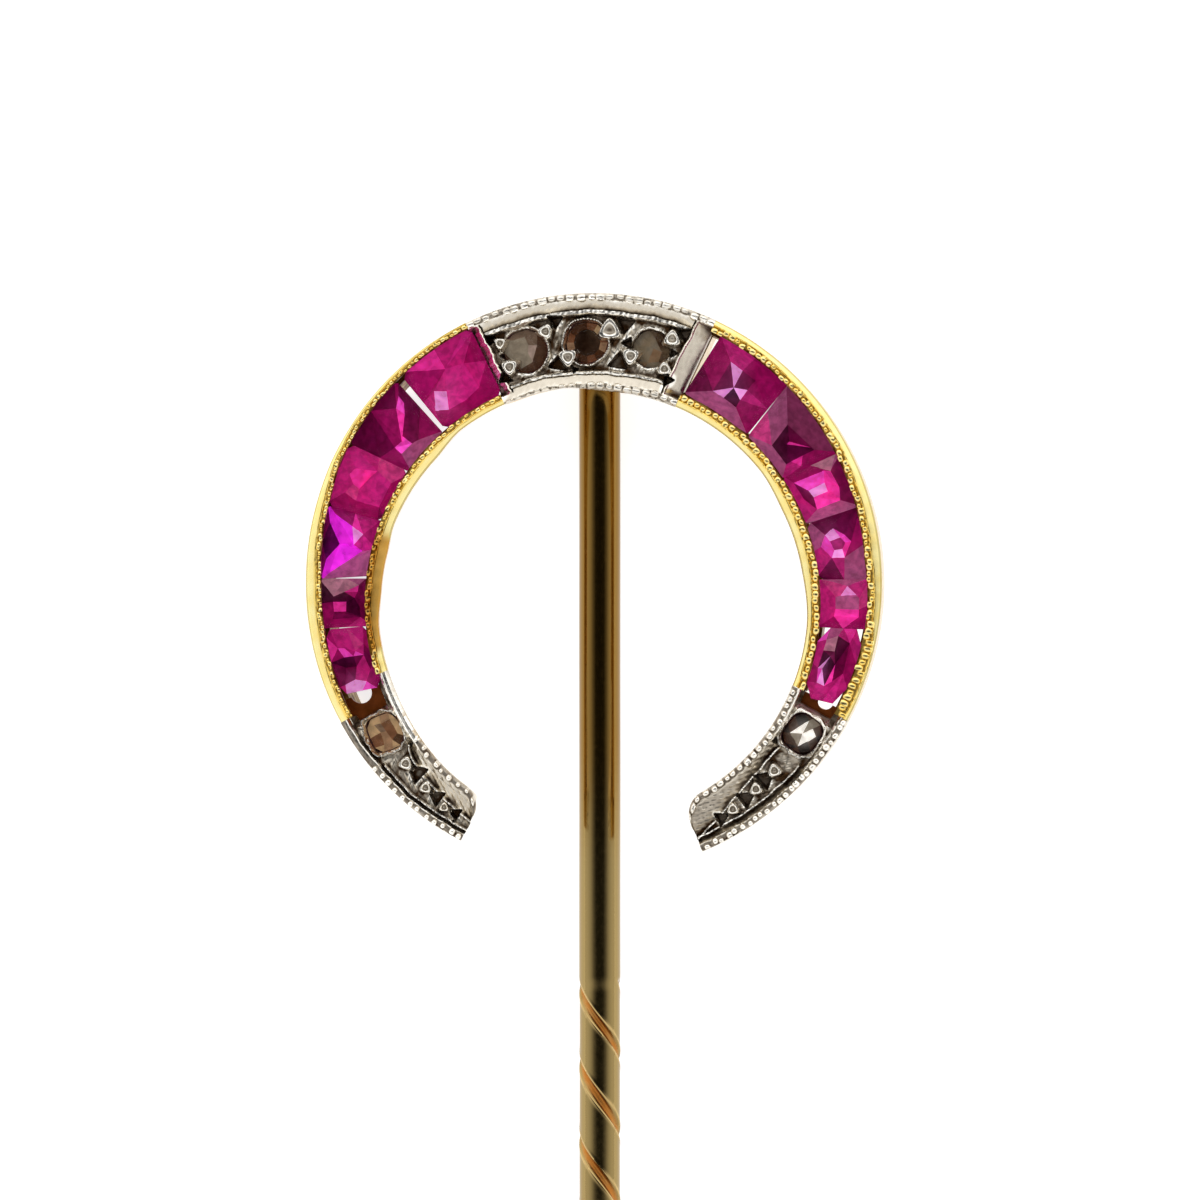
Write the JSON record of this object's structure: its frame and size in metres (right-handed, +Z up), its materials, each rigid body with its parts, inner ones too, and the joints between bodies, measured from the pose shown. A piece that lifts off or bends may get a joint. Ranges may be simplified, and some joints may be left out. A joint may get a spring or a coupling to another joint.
{
  "type": "stick pin",
  "caption": "Horseshoe-shaped stick pin: a gold channel of calibre-cut rubies between platinum facings with small diamonds, on a long gold stem with a spiral-grooved stretch",
  "frame": {"origin": "on the table under the middle of the pin's box, with the pin lying on its back", "axes": "+Z up, away from the table, out of the front of the head; +Y along the stem from its point to the head; +X towards the head's right arm"},
  "size_m": [0.0152, 0.0634, 0.0036],
  "materials": {
    "gold": "polished yellow gold, worn along the edges",
    "platinum": "bright-cut platinum, dark in the recesses",
    "ruby": "polished, deep pinkish red",
    "diamond": "old rose cut, greyish"
  },
  "bodies": {
    "root": {"gold_body": "gold", "platinum_top": "platinum", "platinum_tip_left": "platinum", "platinum_tip_right": "platinum", "ruby_left_1": "ruby", "ruby_left_2": "ruby", "ruby_left_3": "ruby", "ruby_left_4": "ruby", "ruby_left_5": "ruby", "ruby_left_6": "ruby", "ruby_right_1": "ruby", "ruby_right_2": "ruby", "ruby_right_3": "ruby", "ruby_right_4": "ruby", "ruby_right_5": "ruby", "ruby_right_6": "ruby", "diamond_top_left": "diamond", "diamond_top_middle": "diamond", "diamond_top_right": "diamond", "diamond_tip_left": "diamond", "diamond_tip_right": "diamond"}
  },
  "joints": []
}
